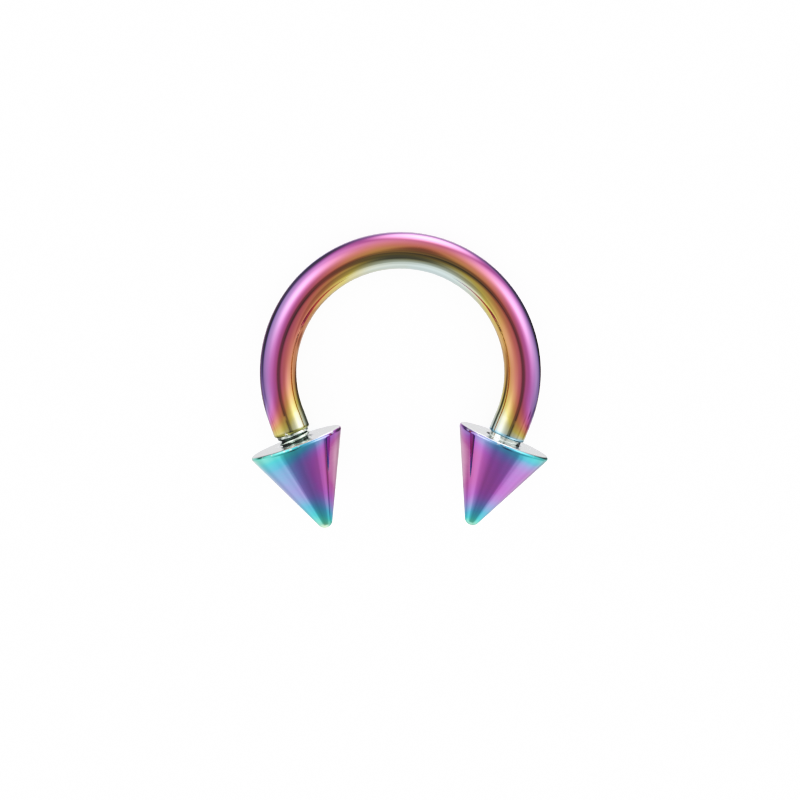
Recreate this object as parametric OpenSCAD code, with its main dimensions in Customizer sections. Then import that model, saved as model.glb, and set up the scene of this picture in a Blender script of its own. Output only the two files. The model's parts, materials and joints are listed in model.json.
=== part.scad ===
// Horseshoe barbell: a round bar bent into a horseshoe, with a cone screwed on each end.
// It lies on its side, on the crown of the bend and the rims of both cones.
// Millimetres, +Z up. The origin is the middle of its footprint, on the surface that it lies on.

/* [Bar] */
// Diameter of the round bar, 14 gauge
bar_d = 1.6; // [1:0.1:2.4]
// Clear width inside the bend
inner_d = 8.9; // [7:0.1:14]
// How far the bend runs on past a half circle, at each end
wrap_deg = 21; // [12:0.5:26]
// How much the bar's radius thins where it is bent
bend_thinning = 0.005; // [0.002:0.001:0.02]
// Straight length from the bend to the shoulder, at each end
straight_len = 0.85; // [0.3:0.05:3]
// Rounding of the shoulder's edge
shoulder_r = 0.1; // [0.04:0.01:0.2]

/* [Thread] */
// Step from the bar's surface down to the crests of the thread
thread_step = 0.1; // [0.05:0.01:0.2]
// Plain length between the shoulder and the first groove
plain_len = 0.1; // [0.05:0.05:0.3]
// Distance from one groove of the thread to the next
thread_pitch = 0.25; // [0.2:0.05:0.4]
// Depth of the thread, from crest to root
thread_depth = 0.13; // [0.08:0.01:0.16]
// Length of the stud beyond the shoulder
stud_len = 1.8; // [1.4:0.1:2.2]

/* [Cones] */
// Widest diameter of a cone, across its rounded rim
cone_d = 4.1; // [3.6:0.1:6]
// Length of a cone, from its flat face to the end of its tip
cone_len = 4; // [3.6:0.1:8]
// Radius of the rounded tip
tip_r = 0.35; // [0.1:0.05:0.6]
// Rounding of the rim
rim_r = 0.12; // [0.05:0.01:0.3]
// Clearance between the crests of the thread and the wall of the hole, all round
thread_clearance = 0.03; // [0.02:0.01:0.08]
// Clearance between the bar and the mouth of the countersink, all round
mouth_clearance = 0.05; // [0.02:0.01:0.2]
// Room past the end of the stud in the hole, with the cone fully home
end_room = 0.2; // [0.12:0.02:0.4]

/* [Fit] */
// Gap between the shoulder and the face of the left cone, which is not screwed fully home
left_gap = 0.4; // [0.05:0.05:1]
// Gap between the shoulder and the face of the right cone
right_gap = 0.15; // [0.05:0.05:1]

/* [Hidden] */
$fn = 96;
LEFT = -1;
RIGHT = 1;

bar_r = bar_d / 2;
crown_r = bar_r - bend_thinning;
bend_r = (inner_d + bar_d) / 2;
// The bend runs a little way on inside each straight end
BEND_OVERRUN_DEG = 0.4;
cone_r = cone_d / 2;
// The cone's side lies this far inside its rounds, so that they cross it and don't only touch it
SIDE_INSET = 0.001;
crest_r = bar_r - thread_step;
root_r = crest_r - thread_depth;
hole_r = crest_r + thread_clearance;
mouth_r = bar_r + mouth_clearance;
countersink_depth = mouth_r - hole_r;
hole_depth = stud_len + end_room;
// A drill leaves a point of 118 degrees at the bottom of the hole, blunted by its chisel edge
chisel_r = 0.15 * hole_r;
drill_point = (hole_r - chisel_r) / tan(59);

// One turn of the thread
THREAD_TURN = [
    // [share of pitch, share of depth]
    [0, 0],
    [0.4, 1],
    [0.6, 1],
    [1, 0],
];
thread_turns = floor((stud_len - plain_len - thread_depth) / thread_pitch);

function gap_at(side) = side == LEFT ? left_gap : right_gap;

// Half angle of the cone, from the line that touches both the rim's round and the tip's
round_span = norm([cone_r - rim_r, cone_len - tip_r - rim_r]);
half_angle = acos((tip_r - rim_r) / round_span) - atan2(cone_len - tip_r - rim_r, cone_r - rim_r);

// Place along the ring's own Y of a point on an end's axis, at a distance beyond the shoulder
function axis_y(beyond) = -bend_r * sin(wrap_deg) - (straight_len + beyond) * cos(wrap_deg);
// Distance of that point from the ring's middle line
function axis_x(beyond) = bend_r * cos(wrap_deg) - (straight_len + beyond) * sin(wrap_deg);

// The ring leans on its crown and on the rims of the cones. This is how far a rim reaches below
// the axis of its cone when the ring leans by an angle.
function rim_reach(lean) =
    (cone_r - rim_r) * norm([cos(lean), sin(wrap_deg) * sin(lean)]) + rim_r;
// Angle of lean at which the crown and the rims touch one surface, found by repeated correction
function settled(lean, tries) =
    tries == 0 ? lean :
    settled(asin((rim_reach(lean) - crown_r) / (bend_r - axis_y(mean_gap + rim_r))), tries - 1);
mean_gap = (left_gap + right_gap) / 2;
lean_deg = settled(0, 12);

// Footprint of the leaning ring, before it is moved to the origin
function rim_x(side) =
    axis_x(gap_at(side) + rim_r) + (cone_r - rim_r) * cos(wrap_deg) + rim_r;
function rim_z(side) = -axis_y(gap_at(side) + rim_r) * sin(lean_deg) - rim_reach(lean_deg);
crown_z = -bend_r * sin(lean_deg) - crown_r;
crown_y = bend_r * cos(lean_deg) + crown_r;
tip_y = axis_y(max(left_gap, right_gap) + cone_len - tip_r) * cos(lean_deg) - tip_r;
middle_x = (rim_x(RIGHT) - rim_x(LEFT)) / 2;
middle_y = (crown_y + tip_y) / 2;
lowest_z = min(crown_z, rim_z(LEFT), rim_z(RIGHT));

// Lays the ring, drawn flat round its own centre, on the surface
module laid_down() {
    translate([-middle_x, -middle_y, -lowest_z])
        rotate([-lean_deg, 0, 0])
            children();
}

// Puts a shape drawn along +Z on the axis of one end, starting where the bend stops
module on_end(side) {
    translate([side * bend_r * cos(wrap_deg), -bend_r * sin(wrap_deg), 0])
        rotate([90, 0, -side * wrap_deg])
            children();
}

module bend() {
    rotate_extrude(
        start = -wrap_deg - BEND_OVERRUN_DEG,
        angle = 180 + 2 * (wrap_deg + BEND_OVERRUN_DEG)
    )
        translate([bend_r, 0])
            circle(r = crown_r);
}

// Half outline of the threaded stud, from inside the bar to its bevelled end
module stud_outline() {
    turns = [
        for (turn = [0 : thread_turns - 1], row = THREAD_TURN)
            [
                crest_r - row[1] * thread_depth,
                straight_len + plain_len + (turn + row[0]) * thread_pitch,
            ]
    ];
    polygon(concat(
        [[0, 0], [crest_r, 0]],
        turns,
        [
            [crest_r, straight_len + stud_len - thread_depth],
            [root_r, straight_len + stud_len],
            [0, straight_len + stud_len],
        ]
    ));
}

// Straight end of the bar with its rounded shoulder and the threaded stud
module bar_end() {
    rotate_extrude() {
        square([bar_r - shoulder_r, straight_len]);
        square([bar_r, straight_len - shoulder_r]);
        translate([bar_r - shoulder_r, straight_len - shoulder_r])
            circle(r = shoulder_r);
        stud_outline();
    }
}

module bar() {
    color("orchid")
        laid_down() {
            bend();
            for (side = [LEFT, RIGHT])
                on_end(side)
                    bar_end();
        }
}

// A solid cone: flat face, rounded rim, straight side and rounded tip
module cone_blank() {
    rim = [cone_r - rim_r, rim_r];
    tip = [0, cone_len - tip_r];
    out = [cos(half_angle), sin(half_angle)];
    rotate_extrude() {
        polygon([
            [0, 0],
            [rim[0], 0],
            rim + (rim_r - SIDE_INSET) * out,
            tip + (tip_r - SIDE_INSET) * out,
            [0, tip[1] + (tip_r - SIDE_INSET) * out[1]],
        ]);
        translate(rim)
            circle(r = rim_r);
    }
    // Its poles lie across the axis, buried in the cone, so that the tip itself is smooth
    translate([0, 0, tip[1]])
        rotate([90, 0, 0])
            sphere(r = tip_r);
}

// Blind hole for the stud, from its countersink to the drill's point
module threaded_hole() {
    rotate_extrude()
        polygon([
            [0, -countersink_depth],
            [mouth_r + countersink_depth, -countersink_depth],
            [hole_r, countersink_depth],
            [hole_r, hole_depth],
            [chisel_r, hole_depth + drill_point],
            [0, hole_depth + drill_point],
        ]);
}

module cone_end(side) {
    laid_down()
        on_end(side)
            translate([0, 0, straight_len + gap_at(side)])
                difference() {
                    cone_blank();
                    threaded_hole();
                }
}

module cone_left() {
    color("mediumturquoise")
        cone_end(LEFT);
}

module cone_right() {
    color("mediumpurple")
        cone_end(RIGHT);
}

bar();
cone_left();
cone_right();
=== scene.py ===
# %% [markdown]
# # A horseshoe barbell under a rainbow film
#
# This lesson dresses one small piece of body jewellery: a steel bar, 1.6 mm thick, bent into a
# horseshoe, with a cone screwed on each end. A thin film of titanium oxide gives it its rainbow.
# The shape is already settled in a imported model, the frame. Each piece made here rides on a
# body of that frame, in the same place and in metres, so nothing has to be fitted by eye.

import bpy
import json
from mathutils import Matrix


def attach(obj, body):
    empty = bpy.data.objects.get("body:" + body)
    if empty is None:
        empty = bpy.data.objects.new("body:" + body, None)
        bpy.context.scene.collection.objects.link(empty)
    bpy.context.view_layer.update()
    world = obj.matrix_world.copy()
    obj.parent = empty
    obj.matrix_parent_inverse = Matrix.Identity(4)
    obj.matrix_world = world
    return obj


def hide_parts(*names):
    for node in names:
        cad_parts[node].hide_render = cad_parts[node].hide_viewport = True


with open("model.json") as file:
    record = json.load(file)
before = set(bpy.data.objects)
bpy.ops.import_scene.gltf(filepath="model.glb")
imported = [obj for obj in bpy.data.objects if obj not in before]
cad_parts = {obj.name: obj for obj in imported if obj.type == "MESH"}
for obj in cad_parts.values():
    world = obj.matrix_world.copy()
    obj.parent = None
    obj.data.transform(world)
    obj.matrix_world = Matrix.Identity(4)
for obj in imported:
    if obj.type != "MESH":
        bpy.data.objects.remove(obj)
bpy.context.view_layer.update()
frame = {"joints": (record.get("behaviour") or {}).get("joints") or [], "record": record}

# %% [markdown]
# ## Where the ring lies
#
# The ring leans on its crown and on the rims of both cones. It could be drawn where it lies,
# but every curve on it is simpler in the ring's own frame: flat, with the middle of the bend at
# the origin, the crown along +Y and the side that faces the camera along +Z. So the pieces are
# drawn there and then laid down. The lean and the wrap of the bend are read from the directions
# in which the two cones unscrew, and the middle from the mark on the crown.

# %% The ring's own frame
import json
from math import asin, atan2, cos, degrees, hypot, pi, radians, sin, tan

import bpy
import numpy as np
from mathutils import Matrix, Vector

MM = 0.001
LEFT = -1
RIGHT = 1
SIDE_NAMES = {LEFT: "left", RIGHT: "right"}
BEND_RADIUS = 5.25 * MM

unscrew = {joint["child"]: Vector(joint["axis"]) for joint in frame["joints"]}
left_axis = unscrew["cone_left"]
wrap = asin(left_axis.x)
lean = atan2(left_axis.z, -left_axis.y)
mounts = {mount["name"]: mount for mount in frame["record"]["mounts"]}
crown_mark = Vector(mounts["bar_seat"]["pos_m"])
ring_middle = crown_mark - BEND_RADIUS * Vector((0, cos(lean), -sin(lean)))
ring_turn = Matrix.Rotation(-lean, 3, "X")
ring_to_floor = Matrix.Translation(ring_middle) @ ring_turn.to_4x4()
print(f"wrap {degrees(wrap):.2f} degrees, lean {degrees(lean):.2f} degrees")
print("middle of the bend, mm:", [round(c / MM, 3) for c in ring_middle])

# %% [markdown]
# ## The camera
#
# The photograph looks almost straight down on the ring, tipped 6 degrees toward its crown. A
# camera could be moved by hand until the picture fits, but numbers can be checked. The distance
# follows from a long lens and from how many pixels a millimetre takes, and the aim from the
# place of the middle of the bend in the picture.

# %% Camera at the photograph's angle
PICTURE_SIDE = 800
PIXELS_PER_MM = 23.286
MIDDLE_PIXEL = (400.3, 372.32)
VIEW_TILT = lean + radians(6.24)
VIEW_ROLL = radians(1.06)
LENS = 200.0
SENSOR = 36.0
NEAREST = 0.01
FARTHEST = 20


def add_camera():
    camera_data = bpy.data.cameras.new("photo_camera")
    camera_data.lens = LENS
    camera_data.sensor_width = SENSOR
    camera_data.clip_start = NEAREST
    camera_data.clip_end = FARTHEST
    camera = bpy.data.objects.new("photo_camera", camera_data)
    bpy.context.scene.collection.objects.link(camera)
    turned = Matrix.Rotation(-VIEW_TILT, 4, "X") @ Matrix.Rotation(VIEW_ROLL, 4, "Z")
    distance = PICTURE_SIDE * LENS / SENSOR / PIXELS_PER_MM * MM
    pixel = MM / PIXELS_PER_MM
    aside = (PICTURE_SIDE / 2 - MIDDLE_PIXEL[0]) * pixel
    below = (MIDDLE_PIXEL[1] - PICTURE_SIDE / 2) * pixel
    eye = turned @ Vector((aside, below, distance))
    camera.matrix_world = Matrix.Translation(ring_middle + eye) @ turned
    bpy.context.scene.camera = camera
    return camera


camera = add_camera()
print("camera at, mm:", [round(c / MM, 1) for c in camera.location])

# %% [markdown]
# ## Small helpers for shader nodes
#
# Both the studio and the film are sums of a few smooth shapes. They could be wired by hand in
# the shader editor, but a few helpers that add a node and return its output let the script read
# like the sum itself.


# %% Sums in nodes
def join(tree, value, socket):
    """Sets a socket to a number or a vector, or links another node's output to it."""
    if isinstance(value, bpy.types.NodeSocket):
        tree.links.new(value, socket)
    else:
        socket.default_value = value


def calc(tree, operation, *values):
    node = tree.nodes.new("ShaderNodeMath")
    node.operation = operation
    for value, socket in zip(values, node.inputs):
        join(tree, value, socket)
    return node.outputs[0]


def along(tree, vector, direction):
    """How far a vector reaches along a fixed direction."""
    node = tree.nodes.new("ShaderNodeVectorMath")
    node.operation = "DOT_PRODUCT"
    join(tree, vector, node.inputs[0])
    node.inputs[1].default_value = direction
    return node.outputs["Value"]


# %% Smooth and uneven values
def fade(tree, value, start, stop, low=0.0, high=1.0):
    """Goes smoothly from low to high while the value goes from start to stop."""
    node = tree.nodes.new("ShaderNodeMapRange")
    node.interpolation_type = "SMOOTHSTEP"
    join(tree, value, node.inputs["Value"])
    if start > stop:
        start, stop, low, high = stop, start, high, low
    node.inputs["From Min"].default_value = start
    node.inputs["From Max"].default_value = stop
    node.inputs["To Min"].default_value = low
    node.inputs["To Max"].default_value = high
    return node.outputs["Result"]


def noise(tree, vector, stretch, detail=3.0):
    """Uneven numbers round 0, about -0.3 to 0.3, with so many bumps a millimetre on each axis."""
    scaled = tree.nodes.new("ShaderNodeVectorMath")
    scaled.operation = "MULTIPLY"
    join(tree, vector, scaled.inputs[0])
    scaled.inputs[1].default_value = stretch
    node = tree.nodes.new("ShaderNodeTexNoise")
    join(tree, scaled.outputs[0], node.inputs["Vector"])
    node.inputs["Scale"].default_value = 1.0
    node.inputs["Detail"].default_value = detail
    return calc(tree, "SUBTRACT", node.outputs["Fac"], 0.5)


# %% [markdown]
# ## The studio
#
# Polished metal is all reflection, so most of its look is the studio around it: big soft panels
# to the left and right of the camera with a dark gap between them, a strip light beyond the
# crown, a pale surface below, and dark flags low at both sides that draw the ring's outline.
# Lamps and cards could stand round the ring, but they would have to be far larger than it, and
# the world shader gives the same reflections from directions alone. A direction is given by its
# azimuth in the ring's plane, from +X toward the crown, and by its angle from the ring's normal.


# %% One panel
def studio_direction(azimuth, angle):
    flat = Vector((sin(angle) * cos(azimuth), sin(angle) * sin(azimuth), cos(angle)))
    return (ring_turn @ flat).normalized()


def panel(tree, ray, azimuth, angle, half_width, half_height, softness):
    """1 inside an oval panel that is seen in one direction, 0 outside it. Angles in degrees."""
    azimuth = radians(azimuth)
    middle = studio_direction(azimuth, radians(angle))
    sideways = ring_turn @ Vector((-sin(azimuth), cos(azimuth), 0))
    depth = along(tree, ray, middle)
    across = calc(tree, "ARCTAN2", along(tree, ray, sideways), depth)
    across = calc(tree, "DIVIDE", across, radians(half_width))
    upright = calc(tree, "ARCTAN2", along(tree, ray, middle.cross(sideways)), depth)
    upright = calc(tree, "DIVIDE", upright, radians(half_height))
    squares = calc(tree, "MULTIPLY_ADD", across, across, calc(tree, "MULTIPLY", upright, upright))
    return fade(tree, calc(tree, "SQRT", squares), 1 + softness, 1 - softness)


# %% [markdown]
# ## Panels and flags
#
# A panel adds its light to the even light of the room, and a flag takes a share away from what
# is there. The wide ones give the broad light and dark bands along the bar, and the narrow ones
# the sharp lines near its edges. A panel with a brightness below 0 darkens, and a flag with a
# darkness below 0 brightens.

# %% Where the panels and flags stand
PANELS = [
    # azimuth, angle, half width, half height, softness, brightness
    (267.8, 133.6, 47.4, 132.7, 0.97, 0.45),
    (0.2, 74.2, 61.2, 28.1, 0.64, 0.18),
    (213.0, 77.7, 16.0, 29.9, 0.64, 0.41),
    (51.4, 63.6, 70.5, 20.9, 0.87, 0.27),
    (28.5, 67.0, 20.4, 25.2, 0.97, 1.37),
    (147.3, 66.2, 43.3, 38.5, 0.80, 0.65),
    (146.8, 55.8, 16.8, 17.0, 0.97, 1.38),
    (78.8, 106.4, 15.5, 18.4, 0.97, 4.25),
    (266.4, 145.9, 32.0, 42.1, 0.48, -0.40),
    (258.8, 114.0, 57.9, 46.1, 0.03, 0.29),
    (26.9, 61.2, 10.1, 10.6, 0.88, 0.80),
    (148.5, 52.8, 9.4, 10.1, 0.87, 0.58),
    (29.3, 23.6, 17.6, 7.4, 0.82, 0.11),
    (155.7, 33.3, 13.9, 10.6, 0.77, 0.15),
    (270.9, 83.3, 21.7, 6.6, 0.76, -0.23),
]
FLAGS = [
    # azimuth, angle, half width, half height, softness, darkness
    (269.1, 36.6, 9.8, 17.3, 0.74, 0.61),
    (290.4, 15.8, 13.3, 14.0, 0.36, 0.34),
    (78.8, 16.2, 4.5, 14.8, 0.76, 0.50),
    (29.7, 4.1, 4.6, 5.9, 0.74, 0.41),
    (18.4, 141.2, 20.6, 22.7, 0.35, 0.63),
    (132.6, 130.4, 15.0, 24.7, 0.75, 0.64),
    (275.0, 56.9, 57.0, 16.0, 0.12, 0.27),
    (270.8, 54.9, 15.7, 31.4, 0.44, 0.23),
    (-2.6, 97.5, 11.7, 14.5, 0.70, -0.37),
    (166.9, 120.0, 15.4, 9.8, 0.93, 0.82),
    (-22.6, 96.1, 1.8, 5.8, 0.58, 0.48),
    (200.5, 107.1, 16.2, 6.5, 0.67, 0.23),
    (244.4, 16.0, 6.2, 8.2, 0.52, 0.28),
    (295.3, 11.9, 9.4, 8.0, 0.50, 0.24),
    (6.0, 150.0, 12.0, 16.0, 0.35, 0.50),
    (-180.0, 113.0, 10.0, 8.0, 0.40, 0.35),
    (-24.5, 126.0, 3.8, 15.0, 0.40, 0.45),
    (-42.0, 120.0, 12.0, 14.0, 0.50, 0.12),
    (-138.0, 122.0, 12.0, 14.0, 0.50, 0.15),
    (-104.0, 10.5, 3.2, 4.0, 0.50, 0.42),
    (-50.0, 15.5, 3.2, 4.0, 0.50, 0.38),
]
print("panels", len(PANELS), "flags", len(FLAGS))

# %% [markdown]
# ## The world shader
#
# The panels are for the metal's reflections alone: the world shows them to glossy rays. The
# floor and the camera see an even white instead. One world could do both jobs, but then each
# change to a reflection would also change the colour of the floor.

# %% The studio as a world
FLOOR_LIGHT = 2.3
STUDIO_LIGHT = 0.661
BACK_LIGHT = 0.047
BACK_FADE = (-0.2, 0.6)


def studio_light(tree, ray):
    """How bright the studio is in the direction of a ray."""
    beyond_crown = along(tree, ray, ring_turn @ Vector((0, 1, 0)))
    light = fade(tree, beyond_crown, *BACK_FADE, STUDIO_LIGHT, STUDIO_LIGHT + BACK_LIGHT)
    for *place, brightness in PANELS:
        light = calc(tree, "MULTIPLY_ADD", panel(tree, ray, *place), brightness, light)
    for *place, darkness in FLAGS:
        left = calc(tree, "MULTIPLY_ADD", panel(tree, ray, *place), -darkness, 1.0)
        light = calc(tree, "MULTIPLY", light, left)
    return light


def add_studio():
    world = bpy.data.worlds.new("studio")
    bpy.context.scene.world = world
    world.use_nodes = True
    world.cycles.sampling_method = "NONE"
    tree = world.node_tree
    tree.nodes.clear()
    ray = tree.nodes.new("ShaderNodeTexCoord").outputs["Generated"]
    mirrored = tree.nodes.new("ShaderNodeLightPath").outputs["Is Glossy Ray"]
    other = calc(tree, "SUBTRACT", 1.0, mirrored)
    strength = calc(tree, "MULTIPLY", studio_light(tree, ray), mirrored)
    strength = calc(tree, "MULTIPLY_ADD", other, FLOOR_LIGHT, strength)
    background = tree.nodes.new("ShaderNodeBackground")
    background.inputs["Color"].default_value = (1, 1, 1, 1)
    join(tree, strength, background.inputs["Strength"])
    output = tree.nodes.new("ShaderNodeOutputWorld")
    tree.links.new(background.outputs[0], output.inputs["Surface"])
    return world


studio = add_studio()
print("nodes in the studio", len(studio.node_tree.nodes))

# %% [markdown]
# ## The picture's tones
#
# A camera doesn't record light in proportion: it deepens the darks a little and rolls the
# brightest tones off before they reach white. The plain view transform cuts them off instead.
# A contrast look would do both, but a short curve shows exactly which light becomes which tone.

# %% Tone curve
TONES = [
    # light that reaches the camera, light that the picture shows
    (0.0, 0.010), (0.03, 0.020), (0.07, 0.034), (0.13, 0.073), (0.22, 0.177), (0.35, 0.341),
    (0.55, 0.556), (0.8, 0.764), (1.1, 0.952), (1.6, 0.989), (2.4, 0.998), (4.0, 1.0),
]
ALL_COLOURS = 3


def set_tones():
    view = bpy.context.scene.view_settings
    view.view_transform = "Standard"
    view.look = "None"
    view.use_curve_mapping = True
    brightest = TONES[-1][0]
    mapping = view.curve_mapping
    mapping.white_level = (brightest, brightest, brightest)
    mapping.extend = "HORIZONTAL"
    points = mapping.curves[ALL_COLOURS].points
    while len(points) < len(TONES):
        points.new(0.5, 0.5)
    for point, (light, tone) in zip(points, TONES):
        point.location = (light / brightest, tone)
        point.handle_type = "AUTO_CLAMPED"
    mapping.update()
    print("tones", len(points), "up to a light of", brightest)


set_tones()

# %% [markdown]
# ## The table
#
# The jewellery lies on a table of pale, matt acrylic that glows a little from below, as a light
# table does. A plain white floor would do, but the glow keeps the shadow under the ring as faint
# as in such a picture. Glossy rays pass through it, because the panels of the studio already
# give what the underside of the ring reflects.

# %% Light table
TABLE_HALF = 3.0
TABLE_WHITE = (0.8, 0.8, 0.8, 1)
TABLE_ROUGHNESS = 0.9
TABLE_GLOW = 0.25


def add_table():
    corners = [(x * TABLE_HALF, y * TABLE_HALF, 0) for x, y in ((-1, -1), (1, -1), (1, 1), (-1, 1))]
    mesh = bpy.data.meshes.new("light_table")
    mesh.from_pydata(corners, [], [(0, 1, 2, 3)])
    table = bpy.data.objects.new("light_table", mesh)
    bpy.context.scene.collection.objects.link(table)
    table.visible_glossy = False
    material = bpy.data.materials.new("opal_acrylic")
    material.use_nodes = True
    shader = material.node_tree.nodes["Principled BSDF"]
    shader.inputs["Base Color"].default_value = TABLE_WHITE
    shader.inputs["Roughness"].default_value = TABLE_ROUGHNESS
    shader.inputs["Specular IOR Level"].default_value = 0.0
    shader.inputs["Emission Color"].default_value = (1, 1, 1, 1)
    shader.inputs["Emission Strength"].default_value = TABLE_GLOW
    mesh.materials.append(material)
    return table


table = add_table()
print("table", 2 * TABLE_HALF, "m wide")

# %% [markdown]
# ## A skin from rows of points
#
# The bar and the cones are all round stock. A bevelled curve could make the bar and a screw
# modifier the cones, but neither can cut a true helical thread into the surface. So each piece is
# one closed skin, built from rows of points: a row goes once round the stock, and the rows
# follow one another from one end of the piece to the other. Each point also keeps its place on
# the straight stock, in millimetres, so that a finish can follow the wire round the bend.

# %% Rows round the stock
SIDES = 96
around = np.arange(SIDES) * 2 * pi / SIDES


def round_row(middle, outward, facing, radii, distance):
    """Points of one row round the stock, and their places on it."""
    across = radii * np.cos(around)
    up = radii * np.sin(around)
    points = middle + np.outer(across, outward) + np.outer(up, facing)
    places = np.stack([across, up, np.full(SIDES, distance)], axis=1) / MM
    return points, places


def with_ends(rows):
    """The points of all the rows, between the middle of the first row and that of the last."""
    return np.concatenate([[rows[0].mean(axis=0)], *rows, [rows[-1].mean(axis=0)]])


# %% Skins
def skin_faces(row_count):
    """Faces between the rows, and a fan that closes each end."""
    last_row = 1 + (row_count - 1) * SIDES
    last_point = last_row + SIDES
    faces = []
    for side in range(SIDES):
        beside = (side + 1) % SIDES
        faces.append((0, 1 + beside, 1 + side))
        for start in range(1, last_row, SIDES):
            following = start + SIDES
            faces.append((start + side, start + beside, following + beside, following + side))
        faces.append((last_row + side, last_row + beside, last_point))
    return faces


def skin(name, rows):
    """A closed mesh from rows of points and places, laid down on the table."""
    points, places = zip(*rows)
    mesh = bpy.data.meshes.new(name)
    mesh.from_pydata(with_ends(points).tolist(), [], skin_faces(len(rows)))
    kept = mesh.attributes.new("place", "FLOAT_VECTOR", "POINT")
    kept.data.foreach_set("vector", with_ends(places).ravel().astype(np.float32))
    mesh.transform(ring_to_floor)
    mesh.shade_smooth()
    piece = bpy.data.objects.new(name, mesh)
    bpy.context.scene.collection.objects.link(piece)
    print(name, len(mesh.vertices), "points", len(mesh.polygons), "faces")
    return piece


# %% [markdown]
# ## The thread
#
# Each end of the bar is turned down to a stud and threaded, and the cones' holes are tapped to
# match. The thread is a helix, so how deep the surface lies depends both on how far along the
# stud a point is and on how far round. The same formula cuts the stud and the hole, and keeps
# them in step.

# %% Thread
CREST_RADIUS = 0.7 * MM
THREAD_DEPTH = 0.13 * MM
THREAD_START = 0.1 * MM
THREAD_RUN_IN = 0.5
PITCH = 0.25 * MM
STUD = 1.8 * MM
THREAD_FORM = [
    # share of a turn, share of the depth
    (0, 0), (0.10, 0.03), (0.16, 0.12), (0.40, 0.90), (0.46, 1),
    (0.54, 1), (0.60, 0.90), (0.84, 0.12), (0.90, 0.03), (1, 0),
]
thread_turn, thread_share = np.array(THREAD_FORM).T


def thread_cut(beyond, side):
    """Share of the thread's depth that is cut away all round, at a distance beyond the shoulder."""
    turns = (beyond - THREAD_START) / PITCH - side * around / (2 * pi)
    share = np.interp(turns % 1.0, thread_turn, thread_share)
    return share * np.clip(turns / THREAD_RUN_IN, 0, 1)


print("turns of thread on a stud", round((STUD - THREAD_START) / PITCH, 1))

# %% [markdown]
# ## The bar
#
# The bar is one length of wire: stud, shoulder, bend, shoulder, stud. Its rows are planes across
# the wire. On the bare straight the rows may stand apart, round the shoulder's edge they are
# close, and along the thread there are 14 to each turn. The wire of the bend is a hair thinner
# than the straight ends, as a bent bar is.

# %% Rows across the wire
BAR_RADIUS = 0.8 * MM
CROWN_RADIUS = 0.795 * MM
STRAIGHT = 0.85 * MM

half_bend = BEND_RADIUS * (pi / 2 + wrap)
shoulder = half_bend + STRAIGHT


def wire_section(distance):
    """Middle, outward direction and direction away from the crown, at a distance along the wire."""
    side = RIGHT if distance >= 0 else LEFT
    bent = min(abs(distance), half_bend)
    angle = pi / 2 - side * bent / BEND_RADIUS
    outward = np.array([cos(angle), sin(angle), 0])
    tipward = np.array([side * sin(angle), -side * cos(angle), 0])
    middle = BEND_RADIUS * outward + (abs(distance) - bent) * tipward
    return middle, outward, tipward


def wire_row(distance, radius):
    side = RIGHT if distance >= 0 else LEFT
    middle, outward, tipward = wire_section(distance)
    beyond = abs(distance) - shoulder
    radii = np.full(SIDES, radius)
    if beyond > THREAD_START:
        radii = np.minimum(radii, CREST_RADIUS - THREAD_DEPTH * thread_cut(beyond, side))
    return round_row(middle, outward, [0, 0, 1], radii, distance)


print("length of the wire, mm:", round(2 * (shoulder + STUD) / MM, 1))

# %% From the bend to the end of a stud
SHOULDER_ROUND = 0.1 * MM
SHOULDER_STEPS = 10
STRAIGHT_PLACES = (0.12, 0.25, 0.4, 0.55, 0.68)
ROWS_PER_TURN = 14


def straight_rows():
    """Distance along the wire and radius of each row, from the end of the bend to the shoulder."""
    rows = [(half_bend + 0.02 * MM, CROWN_RADIUS)]
    rows += [(half_bend + place * MM, BAR_RADIUS) for place in STRAIGHT_PLACES]
    for angle in np.linspace(0, pi / 2, SHOULDER_STEPS + 1):
        before = SHOULDER_ROUND * (1 - sin(angle))
        below = SHOULDER_ROUND * (1 - cos(angle))
        rows.append((shoulder - before, BAR_RADIUS - below))
    return rows


def stud_rows():
    """The rows from the shoulder to the stud's bevelled end, and two on the end itself."""
    rows = [(shoulder + 0.004 * MM, CREST_RADIUS), (shoulder + 0.6 * THREAD_START, CREST_RADIUS)]
    steps = round((STUD - THREAD_START) / PITCH * ROWS_PER_TURN)
    for beyond in np.linspace(THREAD_START, STUD, steps + 1):
        bevel = max(0.0, beyond - (STUD - THREAD_DEPTH))
        rows.append((shoulder + beyond, CREST_RADIUS - bevel))
    end_radius = CREST_RADIUS - THREAD_DEPTH
    return rows + [(shoulder + STUD, end_radius * share) for share in (0.66, 0.33)]


# %% Bend the bar
BEND_ROWS = 221

bend_rows = [(half_bend * share, CROWN_RADIUS) for share in np.linspace(-1, 1, BEND_ROWS)]
right_rows = straight_rows() + stud_rows()
left_rows = [(-distance, radius) for distance, radius in reversed(right_rows)]
wire = left_rows + bend_rows + right_rows
bar = skin("rainbow_bar", [wire_row(distance, radius) for distance, radius in wire])

# %% [markdown]
# ## The cones
#
# Each cone is turned on a lathe: a flat face, a small round at the rim, a straight side and a
# blunt tip, then a hole drilled and tapped from the face. Its rows follow that outline from the
# bottom of the hole, out through the countersink, across the face, round the rim and down to the
# tip, so hole and outside are one closed skin. A cone could be cut out with Booleans, but they
# leave long thin faces that catch the light on such a polished surface.

# %% Hole of a cone
HOLE_RADIUS = 0.73 * MM
MOUTH_RADIUS = 0.85 * MM
HOLE_DEPTH = 2.0 * MM
DRILL_HALF_ANGLE = radians(59)
CHISEL_SHARE = 0.15
ROWS_PER_TAPPED_TURN = 12


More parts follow.
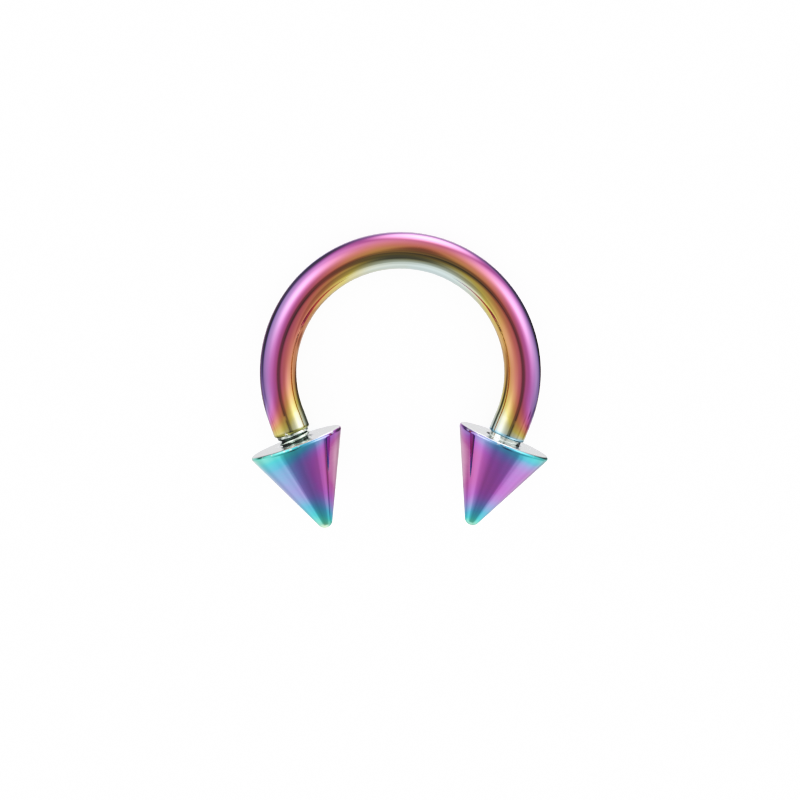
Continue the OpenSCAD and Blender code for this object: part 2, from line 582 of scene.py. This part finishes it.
def hole_rows():
    """Radius and distance from the face of each row, from the drill's point to the countersink."""
    chisel = CHISEL_SHARE * HOLE_RADIUS
    drill_point = (HOLE_RADIUS - chisel) / tan(DRILL_HALF_ANGLE)
    countersink = MOUTH_RADIUS - HOLE_RADIUS
    rows = []
    for share in (0, 0.5, 1):
        rows.append((chisel + (HOLE_RADIUS - chisel) * share, HOLE_DEPTH + drill_point * (1 - share)))
    steps = round((HOLE_DEPTH - countersink) / PITCH * ROWS_PER_TAPPED_TURN)
    rows += [(HOLE_RADIUS, depth) for depth in np.linspace(HOLE_DEPTH, countersink, steps + 1)[1:]]
    for share in (0.3, 0.6, 0.9):
        rows.append((HOLE_RADIUS + countersink * share, countersink * (1 - share)))
    return rows


# %% Outside of a cone
CONE_RADIUS = 2.05 * MM
CONE_LENGTH = 4.0 * MM
RIM_ROUND = 0.12 * MM
TIP_ROUND = 0.35 * MM

rim_middle = (CONE_RADIUS - RIM_ROUND, RIM_ROUND)
tip_middle = (0, CONE_LENGTH - TIP_ROUND)
round_span = hypot(rim_middle[0], tip_middle[1] - rim_middle[1])
# Both rounds stop at this angle. It is 6.5 degrees past the slope of the side between them, so a
# faint edge, 0.003 mm at most, is left where they meet it.
round_end = atan2(rim_middle[0], tip_middle[1] - rim_middle[1]) + asin((TIP_ROUND - RIM_ROUND) / round_span)


def on_round(middle, size, angle):
    """Radius and distance of a point on a round, at an angle from straight out toward the tip."""
    return middle[0] + size * cos(angle), middle[1] + size * sin(angle)


foot = np.array(on_round(rim_middle, RIM_ROUND, round_end))
top = np.array(on_round(tip_middle, TIP_ROUND, round_end))
rim_angles = np.linspace(-pi / 2, round_end, 13)[1:]
tip_angles = np.linspace(round_end, pi / 2, 17)[1:-1]


def outside_rows():
    """Radius and distance from the face of each row, from the edge of the hole to the tip."""
    rows = [(MOUTH_RADIUS + 0.02 * MM, 0)]
    rows += [(radius, 0) for radius in np.linspace(MOUTH_RADIUS + 0.06 * MM, rim_middle[0], 12)]
    rows += [on_round(rim_middle, RIM_ROUND, angle) for angle in rim_angles]
    rows += [tuple(foot + (top - foot) * share) for share in np.linspace(0, 1, 34)[1:]]
    rows += [on_round(tip_middle, TIP_ROUND, angle) for angle in tip_angles]
    return rows


print(f"half angle of a cone {degrees(atan2(foot[0] - top[0], top[1] - foot[1])):.1f} degrees")

# %% Turn both cones
GROOVE = 0.06 * MM
TAP_START = 0.13 * MM
GAPS = {LEFT: 0.4 * MM, RIGHT: 0.15 * MM}


def add_cone(side):
    start, outward, tipward = wire_section(side * shoulder)
    face = start + GAPS[side] * tipward
    rows = []
    for radius, depth in hole_rows() + outside_rows():
        radii = np.full(SIDES, radius)
        if abs(radius - HOLE_RADIUS) < 1e-9 and depth > TAP_START:
            radii = radii + GROOVE * (1 - thread_cut(depth + GAPS[side] + PITCH, RIGHT))
        rows.append(round_row(face + depth * tipward, outward, [0, 0, side], radii, depth))
    return skin(f"{SIDE_NAMES[side]}_spike", rows)


spikes = {side: add_cone(side) for side in (LEFT, RIGHT)}

# %% [markdown]
# ## The rainbow film
#
# The film is clear. Its colour comes from its thickness, as in oil on water: light that bounces
# off its top and off the steel below interferes. The script could trace the waves, but it would
# need the film's true thickness at each place. It keeps the order in which the colours follow
# one another as such a film grows, and lets smooth shapes decide how thick it is. So a thickness
# is a number of steps along a list of colours: 0 is the first of them.

# %% Colours in order of thickness
# The last colour of the bar, dark plum, is mostly reached on its painted dark outline.
BAR_FILM = [
    "c0cfdd", "bececc", "c9b976", "c89970", "d08980", "c2798c",
    "bf76a0", "bf7db3", "ab7fb3", "a087b4", "8a7cac", "5c2e5a",
]
CONE_FILM = [
    "d0d2da", "d8d4dc", "d8c8d4", "d8b8cc", "d4a0bc", "d08cac", "cb6e8c", "dfa4c2", "c076ad",
    "b47bc3", "9797d0", "6eb0cf", "66c3ca", "7ed4c3", "90ceb7", "d6ecca", "d4d6dc",
]


def linear(code):
    """A colour code as the amounts of light that a shader works with."""
    parts = [int(code[k : k + 2], 16) / 255 for k in (0, 2, 4)]
    return [c / 12.92 if c <= 0.04045 else ((c + 0.055) / 1.055) ** 2.4 for c in parts] + [1]


def film_colour(tree, film, thickness):
    node = tree.nodes.new("ShaderNodeValToRGB")
    ramp = node.color_ramp
    last = len(film) - 1
    while len(ramp.elements) < len(film):
        ramp.elements.new(len(ramp.elements) / last)
    for number, code in enumerate(film):
        ramp.elements[number].position = number / last
        ramp.elements[number].color = linear(code)
    join(tree, calc(tree, "DIVIDE", thickness, float(last)), node.inputs["Fac"])
    return node.outputs["Color"]


print("steps of colour: bar", len(BAR_FILM) - 1, "cones", len(CONE_FILM) - 1)

# %% [markdown]
# ## Polished metal
#
# All the pieces are mirror-polished steel. What differs is the colour, the fine lines that the
# polishing left and how clean the surface is. So one function starts each metal and reads the
# place on the stock from the mesh, and three helpers mix colours, cut the polishing lines and
# set how dull the surface is. The place could come from the object's own coordinates, but those
# don't follow the bend.


# %% A new metal
def metal(name):
    """A new metal. Also the place on the stock, and from it outward share, radius and distance."""
    material = bpy.data.materials.new(name)
    material.use_nodes = True
    tree = material.node_tree
    shader = tree.nodes["Principled BSDF"]
    shader.inputs["Metallic"].default_value = 1.0
    attribute = tree.nodes.new("ShaderNodeAttribute")
    attribute.attribute_name = "place"
    place = attribute.outputs["Vector"]
    parts = tree.nodes.new("ShaderNodeSeparateXYZ")
    tree.links.new(place, parts.inputs[0])
    x, y, distance = parts.outputs
    radius = calc(tree, "SQRT", calc(tree, "MULTIPLY_ADD", x, x, calc(tree, "MULTIPLY", y, y)))
    outward = calc(tree, "DIVIDE", x, calc(tree, "MAXIMUM", radius, 0.01))
    return material, tree, shader, place, outward, radius, distance


# %% Colour, lines and dullness
def blend(tree, share, first, second):
    """A colour that goes from the first to the second as the share goes from 0 to 1."""
    node = tree.nodes.new("ShaderNodeMix")
    node.data_type = "RGBA"
    first_colour, second_colour = [socket for socket in node.inputs if socket.type == "RGBA"]
    join(tree, share, node.inputs["Factor"])
    join(tree, first, first_colour)
    join(tree, second, second_colour)
    return next(socket for socket in node.outputs if socket.type == "RGBA")


def grooved(tree, shader, height, depth):
    """Polishing lines as a bump, their depth in metres."""
    node = tree.nodes.new("ShaderNodeBump")
    node.inputs["Strength"].default_value = 1.0
    node.inputs["Distance"].default_value = depth
    join(tree, height, node.inputs["Height"])
    tree.links.new(node.outputs["Normal"], shader.inputs["Normal"])


def dulled(tree, shader, smear, base, bare, bare_more):
    """Roughness: an uneven smear over an even base, and more where the steel is bare."""
    rough = calc(tree, "MULTIPLY_ADD", smear, 0.10, base)
    join(tree, calc(tree, "MULTIPLY_ADD", bare, bare_more, rough), shader.inputs["Roughness"])


# %% [markdown]
# ## How thick the film is on the bar
#
# On the real bar the colour runs from gold inside the bend through rose to violet outside, turns
# paler toward the crown, and falls back to gold and bare silver at the shoulders, where the film
# hardly grew. Three colour ramps could be mixed for that, but one thickness that rises and falls
# keeps the colours in the order that a film has, also in the places between.

# %% Film on the bend
# Each of these three is the value in the middle of the wire, its slant and its bow toward the outside
LEG_FILM = (5.41, 3.92, 1.32)
CROWN_THINNING = (2.95, 0.72, -0.5)
BELLY_FILM = (0.0, -0.2, 0.0)
# Places along the wire in millimetres
CROWN_MIDDLE = 0.44
CROWN_FADE = (7.1, 1.41)
BELLY_MIDDLE = 7.0
BELLY_FADE = (4.2, 0.0)
LEFT_TO_RIGHT = (-6.0, 6.0)


def over_section(tree, outward, middle, slant, bow):
    """A value that changes smoothly from the wire's inner side to its outer side."""
    return calc(tree, "MULTIPLY_ADD", outward, calc(tree, "MULTIPLY_ADD", outward, bow, slant), middle)


def off_from(tree, value, middle):
    return calc(tree, "ABSOLUTE", calc(tree, "SUBTRACT", value, middle))


def bend_film(tree, outward, distance):
    """Thickness on the bend. The left leg has a little more film than the right one."""
    crown = fade(tree, off_from(tree, distance, CROWN_MIDDLE), *CROWN_FADE)
    thinner = calc(tree, "MULTIPLY", over_section(tree, outward, *CROWN_THINNING), crown)
    thick = calc(tree, "SUBTRACT", over_section(tree, outward, *LEG_FILM), thinner)
    thick = calc(tree, "ADD", thick, fade(tree, distance, *LEFT_TO_RIGHT, 0.23, -0.23))
    from_crown = calc(tree, "ABSOLUTE", distance)
    belly = fade(tree, off_from(tree, from_crown, BELLY_MIDDLE), *BELLY_FADE)
    return calc(tree, "MULTIPLY_ADD", belly, over_section(tree, outward, *BELLY_FILM), thick)


# %% Film toward the shoulders
END_STRETCH = (2.38, -0.92, 0.0)
END_DROP = (-0.715, -0.13, 0.0)
RIGHT_END_FADE = (0.6, 0.0)
RIGHT_END_DROP = -0.05
# Painted dark reflection: where the outer line of the bar gets one step of film more
PAINTED_DARK_OUTLINE = (0.84, 0.95)


def end_film(tree, thick, outward, to_shoulder, right):
    """Thins the film toward the shoulders, over a longer stretch inside the bend than outside.
    Elsewhere the outer line of the bar has one step of film more: a painted dark reflection there."""
    stretch = over_section(tree, outward, *END_STRETCH)
    end = fade(tree, calc(tree, "DIVIDE", to_shoulder, stretch), 1.0, 0.0)
    right_end = calc(tree, "MULTIPLY", right, fade(tree, to_shoulder, *RIGHT_END_FADE))
    drop = over_section(tree, outward, *END_DROP)
    drop = calc(tree, "MULTIPLY_ADD", right_end, RIGHT_END_DROP, drop)
    thick = calc(tree, "MULTIPLY", thick, calc(tree, "MULTIPLY_ADD", end, drop, 1.0))
    # Painted dark reflection along the outer line of the bar, one step of film more
    dark_outline_paint = fade(tree, outward, *PAINTED_DARK_OUTLINE)
    return calc(tree, "MULTIPLY_ADD", dark_outline_paint, calc(tree, "SUBTRACT", 1.0, end), thick)


# %% [markdown]
# ## Thread and shoulders
#
# The studs are turned after the film has grown, so they are bare steel: pale on the crests, with
# painted shade that greys the roots, and patches of painted dark reflection that lie mostly on the
# outer side. The shoulder's edge caught its own colour, and there the film is worn through in
# places. Both could be separate materials on their own faces, but then their edges would follow
# the rows of the mesh.

# %% Bare thread
BARE_STEEL = linear("e5e6ea")
THREAD_CREST = linear("e2ebe2")
# Painted shade: the grey that the roots of the thread are painted
THREAD_ROOT_SHADE = linear("74807c")
# Painted dark reflection: the colour of dark patches on the bare thread
THREAD_DARK_REFLECTION = linear("1e262e")
ROOT_SHADE_FADE = (0.68, 0.59)
DARK_REFLECTION_PATCHES = (1.6, 1.6, 2.6)


def thread_colour(tree, place, outward, radius):
    # Painted shade: the thread is painted pale on its crests and grey in its roots
    steel = blend(tree, fade(tree, radius, *ROOT_SHADE_FADE), THREAD_CREST, THREAD_ROOT_SHADE)
    # Painted dark reflection: uneven dark patches, more of them on the outer side of the stud
    patches = noise(tree, place, DARK_REFLECTION_PATCHES)
    painted_dark = fade(tree, calc(tree, "MULTIPLY_ADD", outward, 0.18, patches), 0.0, 0.16)
    return blend(tree, calc(tree, "MULTIPLY", painted_dark, 0.85), steel, THREAD_DARK_REFLECTION)


# %% Shoulder's edge
SHOULDER_EDGE = {LEFT: linear("8c8a52"), RIGHT: linear("9cc8dc")}
EDGE_FADE = (0.17, 0.11)
EDGE_SHARE = 0.8
EDGE_WEAR = (6, 6, 3)
WORN = (0.10, 0.20)


def shoulder_colour(tree, film, place, to_shoulder, right):
    """The film's colour with the shoulder's edge on it, and how bare the steel is there."""
    edge = fade(tree, to_shoulder, *EDGE_FADE)
    edge_film = blend(tree, right, SHOULDER_EDGE[LEFT], SHOULDER_EDGE[RIGHT])
    colour = blend(tree, calc(tree, "MULTIPLY", edge, EDGE_SHARE), film, edge_film)
    worn = fade(tree, noise(tree, place, EDGE_WEAR, 4.0), *WORN)
    bare = calc(tree, "MULTIPLY", edge, worn)
    return blend(tree, bare, colour, BARE_STEEL), bare


# %% Finish of the bar
BAR_CLOUDS = (0.7, 0.7, 0.35)
BAR_LINES = (9, 9, 0.35)
BAR_SMEAR = (1.3, 1.3, 0.6)
BAR_ROUGHNESS = 0.055
BAR_GROOVES = 0.7e-6


def bar_metal():
    material, tree, shader, place, outward, radius, distance = metal("film_on_bar")
    to_shoulder = calc(tree, "SUBTRACT", shoulder / MM, calc(tree, "ABSOLUTE", distance))
    right = fade(tree, distance, *LEFT_TO_RIGHT)
    lines = noise(tree, place, BAR_LINES, 4.0)
    thick = bend_film(tree, outward, distance)
    thick = calc(tree, "MULTIPLY_ADD", noise(tree, place, BAR_CLOUDS), 0.8, thick)
    thick = calc(tree, "MULTIPLY_ADD", lines, 0.4, thick)
    thick = end_film(tree, thick, outward, to_shoulder, right)
    film = film_colour(tree, BAR_FILM, thick)
    colour, bare = shoulder_colour(tree, film, place, to_shoulder, right)
    stud = fade(tree, to_shoulder, 0.0, -0.02)
    thread = thread_colour(tree, place, outward, radius)
    join(tree, blend(tree, stud, colour, thread), shader.inputs["Base Color"])
    smear = noise(tree, place, BAR_SMEAR, 4.0)
    dulled(tree, shader, smear, BAR_ROUGHNESS, calc(tree, "MAXIMUM", bare, stud), 0.04)
    smooth_stud = calc(tree, "MULTIPLY", lines, calc(tree, "SUBTRACT", 1.0, stud))
    grooved(tree, shader, smooth_stud, BAR_GROOVES)
    return material


bar.data.materials.append(bar_metal())
print("nodes in the bar's finish", len(bar.data.materials[0].node_tree.nodes))

# %% [markdown]
# ## How thick the film is on the cones
#
# A cone is teal at its rim, violet along its side and teal again at its tip. So the thickness
# follows a curve along the cone, and the two cones differ in how the film leans across them:
# they hung turned in the bath. A colour ramp along the cone would be simpler, but it would make
# both alike and each one the same all round.

# %% Film on a cone
CONE_THICKNESS = [
    # distance from the face in millimetres, thickness
    (0, 10.9), (0.06, 10.9), (0.12, 10.9), (0.2, 10.8), (0.5, 9.67), (0.9, 8.8), (1.4, 8.68),
    (1.9, 8.64), (2.4, 8.96), (2.9, 9.94), (3.3, 10.98), (3.65, 12.2), (3.9, 13.8), (4.0, 14.0),
]
CURVE_LENGTH = 4.0
CURVE_HEIGHT = 16.0
THICKEST = 15.6


def along_cone(tree, distance):
    """Thickness along a cone, from its face to its tip."""
    curve = tree.nodes.new("ShaderNodeFloatCurve")
    points = curve.mapping.curves[0].points
    while len(points) < len(CONE_THICKNESS):
        points.new(0.5, 0.5)
    for point, (place, thickness) in zip(points, CONE_THICKNESS):
        point.location = (place / CURVE_LENGTH, thickness / CURVE_HEIGHT)
        point.handle_type = "AUTO_CLAMPED"
    curve.mapping.update()
    join(tree, calc(tree, "DIVIDE", distance, CURVE_LENGTH), curve.inputs["Value"])
    return calc(tree, "MULTIPLY", curve.outputs[0], CURVE_HEIGHT)


def cone_film(tree, place, outward, distance, offset, tilt, twist, cup, rim_growth):
    """Thickness on a cone. The tilt leans the film outward, and the twist turns that lean along
    the cone. The cup bows it across, and the growth adds film on the outer side of the rim."""
    slope = calc(tree, "MULTIPLY_ADD", distance, twist / CURVE_LENGTH, tilt - 0.4 * twist)
    slope = calc(tree, "MULTIPLY_ADD", outward, cup, slope)
    leaning = calc(tree, "MULTIPLY_ADD", outward, slope, offset)
    thick = calc(tree, "ADD", along_cone(tree, distance), leaning)
    near_rim = calc(tree, "MULTIPLY", fade(tree, distance, 0.7, 0.1), rim_growth)
    outer_side = fade(tree, outward, 0.1, 1.0, -0.2, 1.0)
    thick = calc(tree, "MULTIPLY_ADD", outer_side, near_rim, thick)
    clouds = noise(tree, place, (0.8, 0.8, 0.8))
    return calc(tree, "MINIMUM", calc(tree, "ADD", thick, clouds), THICKEST)


# %% [markdown]
# ## Face, hole and rim of a cone
#
# The flat face was polished after the film had grown, so it is bare, and the tapped hole was cut
# later still. The rim is the first thing that rubs, and there the film is worn through in
# places. One share, from 0 for bare steel to 1 for whole film, holds all three.

# %% Where a cone has its film
FACE_FADE = (0.015, 0.04)
HOLE_WALL_FADE = (0.93, 0.88)
HOLE_END_FADE = (2.3, 2.2)
RIM_FADE = (0.16, 0.05)
RIM_WEAR = (5, 5, 5)
RIM_WORN = (0.05, 0.16)


def filmed_share(tree, place, radius, distance):
    in_wall = fade(tree, radius, *HOLE_WALL_FADE)
    tapped = calc(tree, "MULTIPLY", in_wall, fade(tree, distance, *HOLE_END_FADE))
    filmed = calc(tree, "MULTIPLY", fade(tree, distance, *FACE_FADE), calc(tree, "SUBTRACT", 1.0, tapped))
    worn = fade(tree, noise(tree, place, RIM_WEAR, 5.0), *RIM_WORN)
    worn_rim = calc(tree, "MULTIPLY", fade(tree, distance, *RIM_FADE), worn)
    return calc(tree, "MULTIPLY", filmed, calc(tree, "MULTIPLY_ADD", worn_rim, -0.7, 1.0))


# %% Finish of the cones
CONE_LINES = (1.2, 1.2, 22)
CONE_SMEAR = (1.1, 1.1, 1.1)
CONE_ROUGHNESS = 0.14
CONE_GROOVES = 0.4e-6
LEANING = {
    # offset, tilt, twist, cup, growth at the rim
    LEFT: (0.87, 1.72, -1.64, -0.93, -0.2),
    RIGHT: (0.16, 0.86, -0.81, -0.67, 1.0),
}


def cone_metal(side):
    name = f"film_on_{SIDE_NAMES[side]}_spike"
    material, tree, shader, place, outward, radius, distance = metal(name)
    thick = cone_film(tree, place, outward, distance, *LEANING[side])
    turned = noise(tree, place, CONE_LINES)
    thick = calc(tree, "MULTIPLY_ADD", turned, 0.25, thick)
    filmed = filmed_share(tree, place, radius, distance)
    film = film_colour(tree, CONE_FILM, thick)
    join(tree, blend(tree, filmed, BARE_STEEL, film), shader.inputs["Base Color"])
    smear = noise(tree, place, CONE_SMEAR, 4.0)
    dulled(tree, shader, smear, CONE_ROUGHNESS, filmed, -0.08)
    grooved(tree, shader, turned, CONE_GROOVES)
    return material


for side, spike in spikes.items():
    spike.data.materials.append(cone_metal(side))
    print(spike.name, "is finished with", spike.data.materials[0].name)

# %% [markdown]
# ## Join the pieces to the frame
#
# Each piece rides on its own body, so that a cone leaves the bar when it unscrews, and stands
# for the plain solid that it covers. The pieces could be parented by hand, but two small calls
# do it the same way for all three.

# %% Ride and replace
for piece, body, slot in (
    (bar, "bar", "rainbow_bar"),
    (spikes[LEFT], "cone_left", "rainbow_cone"),
    (spikes[RIGHT], "cone_right", "rainbow_cone"),
):
    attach(piece, body)
    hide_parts(body)
    print(piece.name, "rides on", body)
